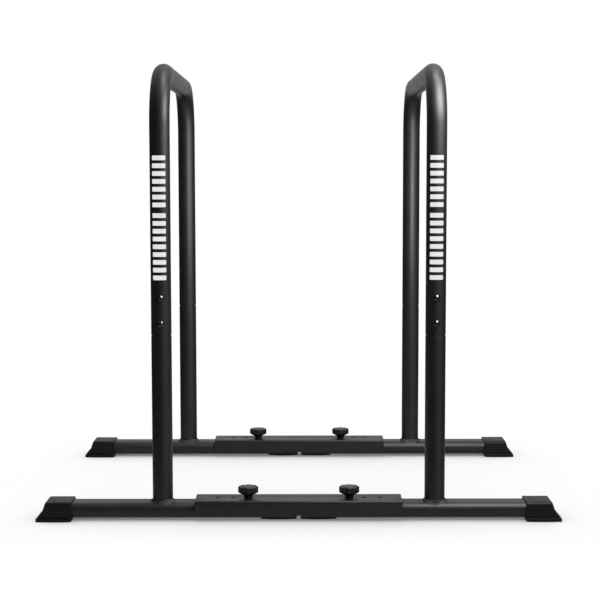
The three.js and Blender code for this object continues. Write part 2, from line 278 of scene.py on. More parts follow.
def turned(profile: Profile, sides: int = 64, closed: bool = False) -> Shape:
    """Turns a profile about the Z axis.

    Args:
        profile: Pairs of radius and height, from one end to the other or all round.
        sides: Points all round the axis.
        closed: Whether the profile's end joins its start. If not, both are filled.

    Returns:
        The solid, or the ring.
    """
    return loft([ring(radius, height, all_round(sides)) for radius, height in profile], closed)


def drill(radius: float, surface: float, sides: int) -> Shape:
    """Returns the cutter of an upright hole through a wall whose outer surface is at a height."""
    return turned([(radius, surface - DRILL_DEPTH), (radius, surface + CUTTER_REACH)], sides)


def rounding(radius: float, steps: int = 4) -> Profile:
    """Returns how far inwards and how far back from an end each step of its rounded edge lies."""
    return [(radius * (1 - math.cos(a)), radius * (1 - math.sin(a)))
            for a in arc(0, QUARTER_TURN, steps)]


def drawn_in(radius: float, past: float | np.ndarray) -> float | np.ndarray:
    """Returns how far a rounded edge has drawn in at a distance past the start of its rounding."""
    return radius - np.sqrt(np.maximum(radius ** 2 - np.maximum(past, 0) ** 2, 0))


def rounded_steps(centre: tuple[float, float], radius: float, start: float, end: float,
                  steps: int) -> Profile:
    """Returns profile points round an arc whose angles are in degrees."""
    angles = arc(math.radians(start), math.radians(end), steps)
    return [(centre[0] + radius * math.cos(a), centre[1] + radius * math.sin(a)) for a in angles]


def eased(corners: Sequence[tuple[float, float, float, int]]) -> Profile:
    """Rounds the square corners of a closed profile.

    Args:
        corners: Each one's two coordinates, the radius of its rounding and the steps of that.

    Returns:
        The profile's points.
    """
    places = np.array([corner[:2] for corner in corners])
    points = []
    for index, (_, _, radius, steps) in enumerate(corners):
        here = places[index]
        ways = [there - here for there in (places[index - 1], places[(index + 1) % len(places)])]
        back, ahead = (way / np.linalg.norm(way) for way in ways)
        points += [tuple(here + inset * ahead + behind * back)
                   for inset, behind in rounding(radius, steps)]
    return points


@dataclass(frozen=True)
class RoundSection:
    """A round tube's outline."""

    radius: float
    sides: int = 96  # points all round

    def outline(self, inset: float = 0.0) -> np.ndarray:
        """Returns the outline, moved inwards by the inset."""
        return ring(self.radius - inset, 0.0, all_round(self.sides))[:, :2]


@dataclass(frozen=True)
class OvalSection:
    """A flat-oval tube's outline: two half circles with flat sides between them."""

    width: float = OVAL_WIDTH  # the long way
    height: float = OVAL_HEIGHT  # the short way
    steps: int = 32  # steps round each half circle

    def outline(self, inset: float = 0.0) -> np.ndarray:
        """Returns the outline, moved inwards by the inset."""
        radius, centre = self.height / 2 - inset, (self.width - self.height) / 2
        return np.array(rounded_steps((centre, 0), radius, -90, 90, self.steps)
                        + rounded_steps((-centre, 0), radius, 90, 270, self.steps))


@dataclass(frozen=True)
class Station:
    """A place along a bar."""

    middle: Triple  # the bar's middle there
    across: Triple  # direction of the outline's first axis
    up: Triple  # direction of the outline's second axis
    along: Triple  # direction of the bar

    def ring(self, outline: np.ndarray, ahead: float = 0.0) -> np.ndarray:
        """Returns the outline's points here, or a little way ahead."""
        middle = np.array(self.middle) + ahead * np.array(self.along)
        return middle + outline[:, :1] * self.across + outline[:, 1:] * self.up


def along_x(x: float, height: float = 0.0) -> Station:
    """Returns a station of a bar that runs along X."""
    return Station((x, 0, height), (0, 1, 0), (0, 0, 1), (1, 0, 0))


def hollow_bar(section: RoundSection | OvalSection, stations: Sequence[Station],
               wall: float, rim: float) -> Shape:
    """Makes a tube along stations, open at both ends, with rounded rims.

    Args:
        section: The outer outline.
        stations: From end to end.
        wall: Thickness of the wall.
        rim: Depth of the rounding at each end's edges.

    Returns:
        The tube.
    """
    outer = [(0.0, 4 * rim), *rounding(rim)]  # the first keeps the rim's shading off the long faces
    lip = outer + [(wall - inset, back) for inset, back in reversed(outer)]
    between = stations[1:-1]
    rings = [station.ring(section.outline()) for station in between]
    rings += [stations[-1].ring(section.outline(inset), -back) for inset, back in lip]
    rings += [station.ring(section.outline(wall)) for station in reversed(between)]
    rings += [stations[0].ring(section.outline(inset), back) for inset, back in reversed(lip)]
    return loft(rings, closed=True)


# Finishes


def linear(colour: str) -> tuple[float, float, float, float]:
    """Turns an sRGB hex colour into a linear one.

    Args:
        colour: The colour, such as "#1a1b1c".

    Returns:
        The linear red, green and blue, and full alpha.
    """
    channels = [int(colour[place:place + 2], 16) / 255 for place in (1, 3, 5)]
    dark = [c / 12.92 if c <= 0.04045 else ((c + 0.055) / 1.055) ** 2.4 for c in channels]
    return (dark[0], dark[1], dark[2], 1.0)


def add_node(tree: Tree, kind: str, settings: dict | None = None,
             links: dict | None = None) -> bpy.types.Node:
    """Adds a node with its settings and links.

    Args:
        tree: Where the node goes.
        kind: The node's type.
        settings: Values by the name or number of an input, or by the name of an attribute.
        links: Output sockets by the name or number of the input that they feed.

    Returns:
        The new node.
    """
    node = tree.nodes.new(kind)
    for key, value in (settings or {}).items():
        if isinstance(key, int) or key in node.inputs:
            node.inputs[key].default_value = value
        else:
            setattr(node, key, value)
    for key, socket in (links or {}).items():
        tree.links.new(socket, node.inputs[key])
    return node


def empty_tree(owner: bpy.types.Material | bpy.types.World) -> Tree:
    """Clears the node tree of a material or a world.

    Args:
        owner: The material or the world.

    Returns:
        Its tree, without nodes.
    """
    owner.use_nodes = True
    owner.node_tree.nodes.clear()
    return owner.node_tree


def per_metre(millimetres: float) -> float:
    """Returns the scale of a pattern whose features are so many millimetres wide."""
    return 1 / (millimetres * MILLIMETRE)


class Finish:
    """A surface: colour with slow mottling, uneven gloss, a fine relief and worn edges."""

    slot: Slot
    colour: str
    mottle: str  # colour of the mottling
    mottle_width: float  # width of the mottling, in millimetres
    roughness: tuple[float, float]  # lowest and highest roughness
    grain_width: float  # width of the relief's bumps, in millimetres
    grain_depth: float  # depth of the relief, in millimetres
    worn: str  # colour of the worn edges
    wear_width: float  # width of the worn edges, in millimetres
    wear: float = 0.6  # how far worn edges take the worn colour, from 0 to 1
    ior: float = 1.5  # refractive index, whose default suits most paints and plastics and stays for metals
    specular: float = 0.5  # specular level, 0.5 for the full reflection of that index
    metallic: float = 0.0  # 1 for bare metal
    scuff_width: float = 4.0  # width of the breaks in the wear, in millimetres

    def relief(self, tree: Tree, place: Socket) -> Socket:
        """Returns the socket of the relief's height, here soft bumps."""
        return add_node(tree, "ShaderNodeTexNoise", {
            "Scale": per_metre(self.grain_width), "Detail": 3.0, "Roughness": 0.5,
        }, {"Vector": place}).outputs[0]

    def edges(self, tree: Tree, place: Socket) -> Socket:
        """Finds the worn edges.

        Args:
            tree: Where the nodes go.
            place: Socket of the place on the piece.

        Returns:
            The socket of a mask that is up to the wear's strength along broken edges.
        """
        rounded = add_node(tree, "ShaderNodeBevel", {
            "samples": 4, "Radius": self.wear_width * MILLIMETRE}).outputs[0]
        straight = add_node(tree, "ShaderNodeNewGeometry").outputs["Normal"]
        likeness = add_node(tree, "ShaderNodeVectorMath", {
            "operation": "DOT_PRODUCT"}, {0: rounded, 1: straight}).outputs["Value"]
        mask = add_node(tree, "ShaderNodeMapRange", {
            "From Min": 0.98, "From Max": 0.8, "To Max": self.wear}, {"Value": likeness}).outputs[0]
        scuffs = add_node(tree, "ShaderNodeTexNoise", {
            "Scale": per_metre(self.scuff_width), "Detail": 2.0}, {"Vector": place}).outputs[0]
        return add_node(tree, "ShaderNodeMath", {
            "operation": "MULTIPLY", "use_clamp": True}, {0: mask, 1: scuffs}).outputs[0]

    def material(self) -> bpy.types.Material:
        """Makes the material from the finish's values.

        Returns:
            The material.
        """
        material = bpy.data.materials.new(self.slot.value)
        tree = empty_tree(material)
        place = add_node(tree, "ShaderNodeTexCoord").outputs["Object"]
        mottling = add_node(tree, "ShaderNodeTexNoise", {
            "Scale": per_metre(self.mottle_width), "Detail": 4.0, "Roughness": 0.6,
        }, {"Vector": place}).outputs[0]
        spread = add_node(tree, "ShaderNodeMapRange", {
            "From Min": 0.35, "From Max": 0.65}, {"Value": mottling}).outputs[0]
        colour = add_node(tree, "ShaderNodeMix", {
            "data_type": "RGBA", 6: linear(self.colour), 7: linear(self.mottle),
        }, {0: spread}).outputs[2]
        colour = add_node(tree, "ShaderNodeMix", {
            "data_type": "RGBA", 7: linear(self.worn),
        }, {0: self.edges(tree, place), 6: colour}).outputs[2]
        gloss = add_node(tree, "ShaderNodeMapRange", {
            "From Min": 0.3, "From Max": 0.7,
            "To Min": self.roughness[0], "To Max": self.roughness[1],
        }, {"Value": mottling}).outputs[0]
        bump = add_node(tree, "ShaderNodeBump", {
            "Strength": 1.0, "Distance": self.grain_depth * MILLIMETRE,
        }, {"Height": self.relief(tree, place)}).outputs[0]
        surface = add_node(tree, "ShaderNodeBsdfPrincipled", {
            "IOR": self.ior, "Specular IOR Level": self.specular, "Metallic": self.metallic,
        }, {"Base Color": colour, "Roughness": gloss, "Normal": bump}).outputs[0]
        add_node(tree, "ShaderNodeOutputMaterial", {}, {"Surface": surface})
        return material


class PowderCoat(Finish):
    """Black satin polyester powder, sprayed dry on steel and baked.

    It gives the eye a near-black skin with broad soft highlights that break up slightly where
    the coat flowed unevenly, and thin grey lines where edges have rubbed. The real orange peel
    is about 1 mm wide, and is drawn 2.5 mm wide so that it shows.
    """

    slot = Slot.POWDER_COAT
    colour, mottle, worn = "#0e0e0f", "#121213", "#3a3a3b"
    mottle_width, grain_width, grain_depth, wear_width = 70.0, 2.5, 0.03, 0.9
    roughness = (0.47, 0.53)
    wear, specular = 0.5, 0.3


class MouldedRubber(Finish):
    """Black rubber from a spark-eroded mould: matt, a little greyer than paint, with worn corners."""

    slot = Slot.RUBBER
    colour, mottle, worn = "#0c0c0c", "#121212", "#242424"
    mottle_width, grain_width, grain_depth, wear_width = 18.0, 1.6, 0.03, 1.2
    roughness = (0.44, 0.54)
    specular = 0.12


class MouldedPlastic(Finish):
    """Black polyethylene plug, injection moulded: waxy and even, with faint flow marks."""

    slot = Slot.PLASTIC
    colour, mottle, worn = "#131313", "#191919", "#2a2a2a"
    mottle_width, grain_width, grain_depth, wear_width = 25.0, 1.8, 0.02, 0.8
    roughness = (0.45, 0.55)
    wear, specular = 0.4, 0.35


class MouldedNylon(Finish):
    """Glass-filled black nylon of the knobs: a close sandy grain that dulls the gloss, with
    lobes polished a little by hands."""

    slot = Slot.NYLON
    colour, mottle, worn = "#0b0b0b", "#101010", "#303030"
    mottle_width, grain_width, grain_depth, wear_width = 9.0, 1.2, 0.04, 1.0
    roughness = (0.38, 0.5)
    ior, specular = 1.53, 0.22

    def relief(self, tree: Tree, place: Socket) -> Socket:
        """Returns the socket of the relief's height, here close round grains."""
        return add_node(tree, "ShaderNodeTexVoronoi", {
            "feature": "SMOOTH_F1", "Scale": per_metre(self.grain_width), "Smoothness": 0.6,
        }, {"Vector": place}).outputs["Distance"]


class BlackOxide(Finish):
    """Blackened and oiled steel of the screws and washers: dark metal with a tight sharp glint."""

    slot = Slot.BLACK_STEEL
    colour, mottle, worn = "#454546", "#4e4e4f", "#6a6a6a"
    mottle_width, grain_width, grain_depth, wear_width = 5.0, 0.9, 0.006, 0.3
    roughness = (0.12, 0.18)
    wear, metallic = 0.5, 1.0


class ZincPlate(Finish):
    """Bright zinc electroplate on turned steel: cool pale metal with faint bloom."""

    slot = Slot.PLATED
    colour, mottle, worn = "#b9bcbb", "#a3a7a8", "#d2d4d4"
    mottle_width, grain_width, grain_depth, wear_width = 6.0, 0.8, 0.006, 0.3
    roughness = (0.22, 0.36)
    metallic = 1.0


class ScreenPrint(Finish):
    """White epoxy ink, screen printed on the powder coat: flat, matt and slightly uneven."""

    slot = Slot.PRINT
    colour, mottle, worn = "#ececeb", "#e2e2e1", "#b4b4b4"
    mottle_width, grain_width, grain_depth, wear_width = 12.0, 2.5, 0.02, 0.4
    roughness = (0.5, 0.6)
    wear = 0.5


class Workshop:
    """Keeps the materials, and turns shapes into pieces that ride on the part's bodies."""

    def __init__(self, finishes: Sequence[Finish]) -> None:
        """Makes one material for each finish."""
        self.materials = {finish.slot: finish.material() for finish in finishes}

    def piece(self, name: str, shape: Shape, slot: Slot, body: str, node: str = "") -> None:
        """Makes a piece and sets it on its body.

        Args:
            name: The piece's name.
            shape: Its shape, in place.
            slot: Its finish.
            body: The body that it rides on.
            node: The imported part's node that it stands for, if there is one.
        """
        mesh = shape.mesh(name)
        mesh.shade_smooth()
        mesh.set_sharp_from_angle(angle=SHARP_ANGLE)
        mesh.materials.append(self.materials[slot])
        piece = put(name, mesh)
        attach(piece, body)
        if node:
            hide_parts(node)
        log.info("made %s with %d faces", name, len(mesh.polygons))

    def dress(self, node: str, slot: Slot) -> None:
        """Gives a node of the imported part, whose shape stays, its finish.

        Args:
            node: The node's name.
            slot: Its finish.
        """
        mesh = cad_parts[node].data
        mesh.materials.clear()
        mesh.materials.append(self.materials[slot])
        log.info("dressed %s", node)


# Sub-assemblies


@dataclass(frozen=True)
class Handle:
    """A bent tube: up from the front joint, along the top and down to the rear joint."""

    side: Side
    axis_height: float = 880.0  # height of the top run's middle
    bend_radius: float = 104.0  # radius of the bends, to the tube's middle
    bend_steps: int = 34
    rim: float = 0.25  # rounding of the cut ends
    hole_radius: float = 4.3  # radius of the screw holes

    def stations(self) -> list[Station]:
        """Works out the path of the bend.

        Returns:
            The stations from the front end to the rear end.
        """
        turn_y = UPRIGHT_Y - self.bend_radius
        turn_z = self.axis_height - self.bend_radius
        path = [(-UPRIGHT_Y, SEAM_HEIGHT, QUARTER_TURN)]
        for centre, start in ((-turn_y, HALF_TURN), (turn_y, QUARTER_TURN)):
            path += [(centre + self.bend_radius * math.cos(a),
                      turn_z + self.bend_radius * math.sin(a), a - QUARTER_TURN)
                     for a in arc(start, start - QUARTER_TURN, self.bend_steps)]
        path.append((UPRIGHT_Y, SEAM_HEIGHT, -QUARTER_TURN))
        return [Station((self.side.sign * UPRIGHT_X, y, z), (1, 0, 0),
                        (0, math.sin(heading), -math.cos(heading)),
                        (0, math.cos(heading), math.sin(heading))) for y, z, heading in path]

    def screw_hole(self, end: End, height: float) -> Shape:
        """Returns the cutter of a screw's hole through the outward wall of an upright."""
        cutter = drill(self.hole_radius, TUBE_RADIUS, 32).laid_back()
        return cutter.placed(self.side.sign * UPRIGHT_X, end.sign * UPRIGHT_Y, height, end.turn)

    def build(self, shop: Workshop) -> None:
        """Makes the handle, with its screw holes.

        Args:
            shop: Where it is made.
        """
        shape = hollow_bar(RoundSection(TUBE_RADIUS), self.stations(), TUBE_WALL, self.rim)
        holes = [self.screw_hole(end, height) for end in End for height in SCREW_HEIGHTS.values()]
        name = f"{self.side.label}_handle"
        shop.piece(f"{name}_tube", carved(shape, holes), Slot.POWDER_COAT, self.side.body, name)


@dataclass(frozen=True)
class PrintedMark:
    """Two plain rows of bars printed up the front of an upright, thin curved skins of ink."""

    side: Side
    # Height of each row's lowest edge, and how many bars it has
    rows: tuple[tuple[float, int], ...] = ((474.5, 9), (616.0, 7))
    pitch: float = 15.1  # from bar to bar
    bar_height: float = 9.0
    half_angle: float = 40.0  # half the bars' reach round the tube, in degrees
    turn: float = 2.4  # how far the bars' middle lies to the left of the tube's front, in degrees
    corner: float = 1.2  # radius of a bar's corners
    ink: float = 0.08  # thickness of the ink, drawn thicker than the real 0.03 mm so that it holds its edge
    clearance: float = 0.01  # gap under the ink, which keeps its back off the tube
    columns: int = 24  # points along a bar between its corners

    def bar(self, bottom: float) -> Shape:
        """Makes one bar, round a tube that stands on the Z axis, facing -Y.

        Args:
            bottom: Height of its lower edge.

        Returns:
            The bar.
        """
        middle = bottom + self.bar_height / 2
        inner, outer = TUBE_RADIUS + self.clearance, TUBE_RADIUS + self.ink
        half = TUBE_RADIUS * math.radians(self.half_angle)
        ends = half - np.array(rounding(self.corner))[:, 0]
        straight = half - self.corner
        rings = []
        for across in (*-ends[:-1], *np.linspace(-straight, straight, self.columns), *ends[-2::-1]):
            reach = self.bar_height / 2 - drawn_in(self.corner, abs(across) - straight)
            angle = across / TUBE_RADIUS - QUARTER_TURN - math.radians(self.turn)
            rings.append(np.array([
                (radius * math.cos(angle), radius * math.sin(angle), middle + up * reach)
                for radius, up in ((outer, 1), (outer, -1), (inner, -1), (inner, 1))]))
        return loft(rings)

    def build(self, shop: Workshop) -> None:
        """Makes all the bars as one piece.

        Args:
            shop: Where it is made.
        """
        bars = merged([self.bar(bottom + index * self.pitch)
                       for bottom, count in self.rows for index in range(count)])
        shop.piece(f"{self.side.label}_upright_bars",
                   bars.placed(self.side.sign * UPRIGHT_X, -UPRIGHT_Y), Slot.PRINT, self.side.body)


@dataclass(frozen=True)
class CornerPart:
    """A sub-assembly that each end of each side frame has."""

    side: Side
    end: End

    @property
    def corner(self) -> str:
        """Returns the corner's name."""
        return f"{self.side.label}_{self.end.label}"

    def moved(self, shape: Shape, x: float = 0.0, z: float = 0.0, turn: float = 0.0) -> Shape:
        """Returns a shape, turned about Z, at a distance along X and a height in its corner."""
        return shape.placed(self.side.sign * x, self.end.sign * UPRIGHT_Y, z, turn)


@dataclass(frozen=True)
class FramePiece(CornerPart):
    """A sub-assembly that is one piece of the side frame."""

    node: ClassVar[str]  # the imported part's node that it stands for, after the corner's name
    kind: ClassVar[str]  # what the piece's name adds to that
    slot: ClassVar[Slot]

    def shape(self) -> Shape:
        """Returns the piece's shape, in place."""
        raise NotImplementedError

    def build(self, shop: Workshop) -> None:
        """Makes the piece.

        Args:
            shop: Where it is made.
        """
        name = f"{self.corner}_{self.node}"
        shop.piece(f"{name}_{self.kind}", self.shape(), self.slot, self.side.body, name)


@dataclass(frozen=True)
class Post(FramePiece):
    """A straight tube welded on a base tube, with the rippled bead at its foot."""

    node, kind, slot = "post", "tube", Slot.POWDER_COAT
    leg: float = 5.5  # size of the weld bead, up the post and out over the base tube
    hollow: float = 0.45  # how far the bead's middle sags below a straight line
    ripple: float = 0.3  # height of the ripples
    ripples: int = 52  # how many ripples go round
    trail: float = 2.2  # how far the ripples' ends trail behind their middles, in radians
    # Heights over the bead of the rings that keep its shading off the long faces
    stays: tuple[float, float] = (40.0, 0.6)
    # Radii of the steps across the underside, which follows the base tube
    underside: tuple[float, ...] = (23.5, 21.5, TUBE_RADIUS, TUBE_RADIUS - TUBE_WALL)
    bore_step: float = 8.0  # height over the base tube of the lowest level ring in the bore
    rim: float = 0.15  # bevel under the groove
    # Depth and height of the groove round the upper end, the joint's fine dark line
    groove: tuple[float, float] = (1.3, 2.0)
    sides: int = 416  # points all round, eight for each ripple

    def shape(self) -> Shape:
        """Makes the post with its bead.

        Returns:
            The post, in place.
        """
        angles = all_round(self.sides)
        curve = OVAL_HEIGHT / 2 + SEAT_GAP

        def seat(radius: float) -> np.ndarray:
            """Returns the height of the base tube's surface under a ring."""
            over = np.abs(radius * np.sin(angles)) - (OVAL_WIDTH - OVAL_HEIGHT) / 2
            return OVAL_MIDDLE + curve - drawn_in(curve, over)

        depth, height = self.groove
        top = SEAM_HEIGHT - SEAT_GAP
        neck, shoulder, bore = TUBE_RADIUS - depth, top - height, self.underside[-1]
        profile = [(neck, top), (neck, shoulder), (TUBE_RADIUS - self.rim, shoulder),
                   (TUBE_RADIUS, shoulder - self.rim)]
        profile += [(TUBE_RADIUS, seat(TUBE_RADIUS) + self.leg + stay) for stay in self.stays]
        for share in np.linspace(0, 1, 11):
            phase = self.ripples * angles + self.trail * (2 * share - 1) ** 2
            swell = math.sin(HALF_TURN * share) * (self.ripple * np.cos(phase) - self.hollow)
            slant = swell * math.sqrt(0.5)
            foot = TUBE_RADIUS + self.leg * share
            profile.append((foot + slant, seat(foot) + self.leg * (1 - share) + slant))
        profile += [(radius, seat(radius)) for radius in self.underside]
        profile += [(bore, OVAL_TOP + self.bore_step), (bore, top)]
        post = loft([ring(radius, height, angles) for radius, height in profile], closed=True)
        return self.moved(post, UPRIGHT_X)


@dataclass(frozen=True)
class JointScrew(FramePiece):
    """A button-head screw with a hexagon socket."""

    kind, slot = "button_head", Slot.BLACK_STEEL
    place: str  # "lower" or "upper"
    head_radius: float = 7.0
    head_height: float = 4.4
    socket: float = 5.0  # across the flats of the socket
    socket_depth: float = 2.6
    shank: float = 4.0  # radius of the shank
    length: float = 16.0  # length of the shank
    sides: int = 72  # points all round

    @property
    def node(self) -> str:
        """Returns the screw's node, after the corner's name."""
        return f"{self.place}_screw"

    def outside(self) -> Profile:
        """Works out the outside's profile.

        Returns:
            Radius and height at each step, from the tip to the rim of the socket.
        """
        dome = (self.head_radius ** 2 + self.head_height ** 2) / (2 * self.head_height)
        sweep = math.degrees(math.asin(self.head_radius / dome))
        mouth = math.degrees(math.asin((self.socket / 2 + 0.75) / dome))
        crown = rounded_steps((0, self.head_height - dome), dome, 90 - sweep, 90 - mouth, 12)
        return [(0.4, -self.length), (self.shank - 0.7, -self.length), (self.shank, 0.7 - self.length),
                (self.shank, -0.3), (self.shank + 0.3, 0.0), (self.head_radius - 0.3, 0.0),
                (self.head_radius - 0.05, 0.12), (self.head_radius - 0.08, 0.4), *crown[1:]]

    def inside(self, angles: np.ndarray) -> list[tuple[float | np.ndarray, float]]:
        """Works out the socket, hexagonal above its drilled point.

        Args:
            angles: The angles of the points all round.

        Returns:
            Radius, or radii all round, and height at each step.
        """
        sixth = FULL_TURN / 6
        flat = self.socket / 2
        corner = 1 / np.cos((angles - QUARTER_TURN) % sixth - sixth / 2)
        floor = self.head_height - self.socket_depth
        return [((flat + 0.22) * corner, self.head_height - 0.32),
                (flat * corner, self.head_height - 0.57), (flat * corner, floor),
                (1.6, floor - 0.05), (0.3, floor - 0.5)]

    def shape(self) -> Shape:
        """Makes the screw, with its socket sunk in the dome.

        Returns:
            The screw, in place.
        """
        angles = all_round(self.sides)
        screw = loft([ring(radius, height, angles)
                      for radius, height in [*self.outside(), *self.inside(angles)]])
        seated = screw.laid_back().placed(y=TUBE_RADIUS + SEAT_GAP)
        return self.moved(seated, UPRIGHT_X, SCREW_HEIGHTS[self.place], self.end.turn)


@dataclass(frozen=True)
class BaseTube(FramePiece):
    """A flat-oval tube on the floor pads and the foot cap, drilled for its threaded insert."""

    node, kind, slot = "base_tube", "oval", Slot.POWDER_COAT
    rim: float = 0.4  # rounding of the cut ends
    hole_radius: float = 5.8  # radius of the insert's hole

    def shape(self) -> Shape:
        """Makes the tube.

        Returns:
            The tube, in place.
        """
        stations = [along_x(x, OVAL_MIDDLE) for x in (TUBE_INNER_END, TUBE_OUTER_END)]
        tube = hollow_bar(OvalSection(), stations, OVAL_WALL, self.rim)
        drilled = carved(tube, [drill(self.hole_radius, OVAL_TOP, 48).placed(FIRST_HOLE)])
        return self.moved(drilled, turn=self.side.turn)


@dataclass(frozen=True)
class FootCap(FramePiece):
    """A moulded rubber boot over the outer end of a base tube: a sleeve, a sloped toe and a
    flange on the floor."""

    node, kind, slot = "foot_cap", "boot", Slot.RUBBER
    mouth: float = 447.0  # distance of the open end from the middle
    tip: float = 516.5  # distance of the flange's tip from the middle
    half_width: float = 33.5
    top: float = 38.0  # height of the top
    edge: float = 7.5  # radius of the long upper edges
    mouth_edge: float = 0.8  # radius of the edge between the top and the mouth
    toe_edge: float = 3.5  # radius of the edge between the top and the toe
    # Height and distance from the middle of places up the toe, to its upper edge
    slope: tuple[tuple[float, float], ...] = (
        (8.6, 514.0), (9.4, 513.1), (10.4, 512.0), (11.9, 510.6), (13.8, 508.7), (16.4, 506.2),
        (20.4, 503.6), (24.6, 502.1), (29.5, 500.5), (34.5, 498.7))
    # Heights of the sleeve's steps, below its long upper edges
    levels: tuple[float, ...] = (8.6, 9.4, 10.4, 11.9, 13.8, 16.4, 18.4, 20.4, 22.4, 24.6, 27.0, 30.5)
    # Radii of the sleeve's upright corners, at the toe and at the mouth
    corners: tuple[float, float] = (3.2, 1.2)
    flange: float = 36.5  # half the flange's width at its ends
    flange_top: float = 6.9
    flange_edge: float = 1.5  # radius of the flange's upper edge
    # Radii of the flange's corners, at the toe and at the mouth
    flange_corners: tuple[float, float] = (3.5, 1.6)
    bow: float = 1.5  # how far the flange's long sides bulge
    sole_edge: float = 0.3  # radius of the edge on the floor
    # Height, half width and tip of each step of the groove over the flange
    groove: tuple[Triple, ...] = (
        (7.0, 33.0, 513.4), (7.1, 32.4, 513.0), (8.3, 32.3, 512.9), (8.5, 32.9, 513.4))
    groove_mouth: float = 0.8  # how far the groove draws in at the mouth
    # Radii of the groove's corners, at the toe and at the mouth
    groove_corners: tuple[float, float] = (3.3, 1.2)
    # Distance past the mouth, and room round the tube, of each step of the way in
    pocket: tuple[tuple[float, float], ...] = ((-CUTTER_REACH, 1.0), (0.0, 1.0), (0.3, 0.55), (1.0, 0.3))

    @staticmethod
    def outline(start: float, end: float, half: float, corners: tuple[float, float],
                bow: float = 0.0) -> np.ndarray:
        """Makes a level outline, seen from above.

        Args:
            start: Distance of the mouth's side.
            end: Distance of the toe's side.
            half: Half the width.
            corners: Radii of the corners at the toe and at the mouth.
            bow: How far the long sides bulge.

        Returns:
            The points, counter-clockwise.
        """
        toe, mouth = corners
        shares = np.linspace(0, 1, 25)[1:-1]
        flank = zip(start + mouth + (end - toe - start - mouth) * shares,
                    half + bow * np.sin(HALF_TURN * shares))
        side = [*((start, y) for y in np.linspace(0, half - mouth, 7)[:-1]),
                *rounded_steps((start + mouth, half - mouth), mouth, 180, 90, 4), *flank,
                *rounded_steps((end - toe, half - toe), toe, 90, 0, 8),
                *((end, y) for y in np.linspace(half - toe, 0, 7)[1:])]
        return np.array([(x, -y) for x, y in side] + side[-2:0:-1])

    def toe(self, height: float) -> float:
        """Returns how far out the toe reaches at a height."""
        heights, reaches = zip(*self.slope)
        return np.interp(height, heights, reaches) - drawn_in(self.toe_edge, height - heights[-1])

    def shape(self) -> Shape:
        """Makes the boot, hollowed for the tube.

        Returns:
            The boot, in place.
        """
        flange = [(inset, inset, back) for inset, back in reversed(rounding(self.sole_edge, 3))]
        flange += [(inset, inset / 2, self.flange_top - back)
                   for inset, back in rounding(self.flange_edge, 6)]
        rings = [level(self.outline(self.mouth + behind, self.tip - inset, self.flange - inset,
                                    self.flange_corners, self.bow), height)
                 for inset, behind, height in flange]
        rings += [level(self.outline(self.mouth + self.groove_mouth, end, half, self.groove_corners),
                        height) for height, half, end in self.groove]
        sleeve = [(0.0, height) for height in self.levels]
        sleeve += [(inset, self.top - back) for inset, back in rounding(self.edge, 12)[1:]]
        toe_corner, mouth_corner = self.corners
        for inset, height in sleeve:
            start = self.mouth + drawn_in(self.mouth_edge, height - self.top + self.mouth_edge)
            rings.append(level(self.outline(start, self.toe(height), self.half_width - inset,
                                            (toe_corner - 0.2 * inset, mouth_corner)), height))
        way_in = [(self.mouth + past, room) for past, room in self.pocket]
        pocket = loft([along_x(x, OVAL_MIDDLE).ring(OvalSection().outline(-room))
                       for x, room in [*way_in, (TUBE_OUTER_END + SEAT_GAP, SEAT_GAP)]])
        return self.moved(carved(loft(rings), [pocket]), turn=self.side.turn)


@dataclass(frozen=True)
class EndPlug(FramePiece):
    """A plastic plug in the inner end of a base tube, hollow behind its flange."""

    node, kind, slot = "end_plug", "moulding", Slot.PLASTIC
    face: float = 4.0  # distance of its face from the middle
    edge: float = 0.7  # radius of the face's edge
    flange: float = 2.0  # thickness of the flange
    depth: float = 16.0  # how far the body reaches into the tube
    wall: float = 2.0  # thickness of the body's wall

    def shape(self) -> Shape:
        """Makes the plug.

        Returns:
            The plug, in place.
        """
        shoulder = self.face + self.flange
        tip = shoulder + self.depth
        outside = OVAL_WALL + SEAT_GAP
        inside = outside + self.wall
        steps = [(inset, self.face + back) for inset, back in reversed(rounding(self.edge))]
        steps += [(0.0, shoulder - 0.1), (0.1, shoulder), (outside, shoulder), (outside, tip - 0.8),
                  (outside + 0.5, tip), (inside, tip), (inside, shoulder + 0.4),
                  (inside + 0.4, shoulder)]
        plug = loft([along_x(x, OVAL_MIDDLE).ring(OvalSection().outline(inset)) for inset, x in steps])
        return self.moved(plug, turn=self.side.turn)


@dataclass(frozen=True)
class FloorPad(FramePiece):
    """A rubber pad under the inner end of a base tube, with bulging long sides."""

    node, kind, slot = "floor_pad", "moulding", Slot.RUBBER
    start: float = 4.0  # distance of its inner end from the middle
    length: float = 71.0
    half_width: float = 9.5  # half the width at the ends
    bow: float = 3.5  # how far each long side bulges
    height: float = 5.0  # height under the tube
    turn_radius: float = 1.6  # radius of the corners, seen from above
    lower_edge: float = 0.9  # radius of the edge on the floor
    upper_edge: float = 0.35  # radius of the edge under the tube

    def shape(self) -> Shape:
        """Makes the pad.

        Returns:
            The pad, in place.
        """
        steps = rounding(self.lower_edge)[::-1]
        steps += [(inset, self.height - back) for inset, back in rounding(self.upper_edge, 3)]
        shares = np.linspace(0, 1, 33)
        rings = []
        for inset, height in steps:
            x = self.start + inset + (self.length - 2 * inset) * shares
            y = self.half_width - inset + self.bow * np.sin(HALF_TURN * shares)
            y -= drawn_in(self.turn_radius, self.turn_radius - np.minimum(x - x[0], x[-1] - x))
            outline = np.vstack([np.column_stack([x, -y]), np.column_stack([x, y])[::-1]])
            rings.append(level(outline, height))
        return self.moved(loft(rings), turn=self.side.turn)


